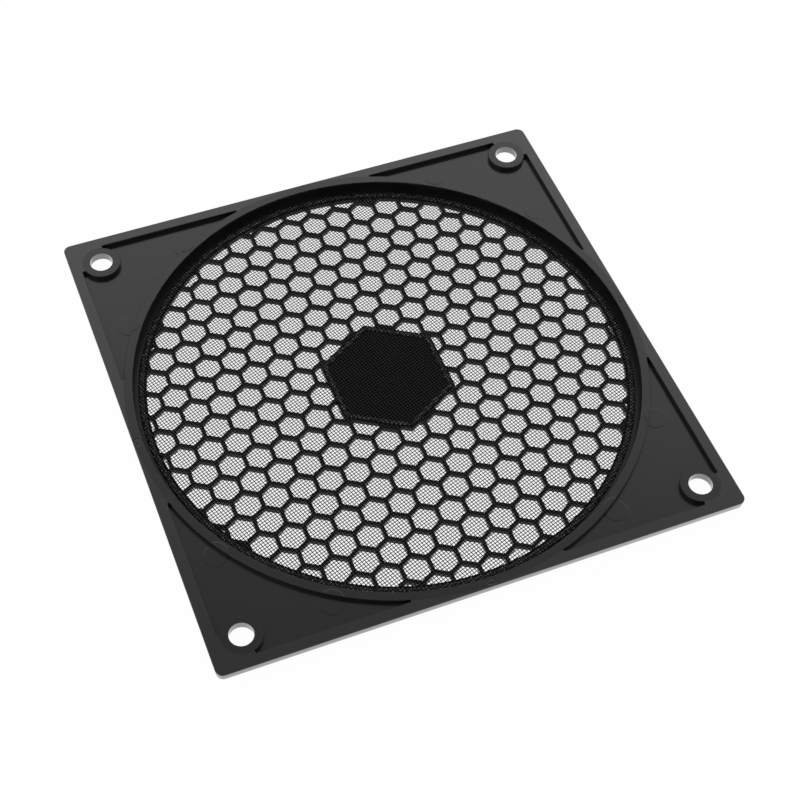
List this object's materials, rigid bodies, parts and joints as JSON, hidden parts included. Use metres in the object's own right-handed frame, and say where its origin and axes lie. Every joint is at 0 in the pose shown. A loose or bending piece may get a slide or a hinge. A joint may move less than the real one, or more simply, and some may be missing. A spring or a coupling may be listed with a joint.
{
  "type": "moulded fan guard with dust net",
  "caption": "Square black plastic fan guard: flat flange with corner screw holes, shallow round dish with a honeycomb grille and solid hexagonal hub, and a fine woven dust net bonded over it.",
  "frame": {"origin": "under the middle of the dish, in the plane of its outer face, on which the guard lies", "axes": "+Z square to the flange, towards the fan; +X and +Y along the flange's sides, with the honeycomb's rows along X"},
  "size_m": [0.12, 0.12, 0.004],
  "materials": {
    "black_plastic": "satin black injection moulding, finely spark-eroded on its faces and smoother on its walls",
    "net_thread": "fine black monofilament in a plain square weave, bonded to the ribs and sealed down round the hub and along the dish wall"
  },
  "bodies": {
    "root": {"frame": "black_plastic", "filter_net": "net_thread"}
  },
  "joints": []
}
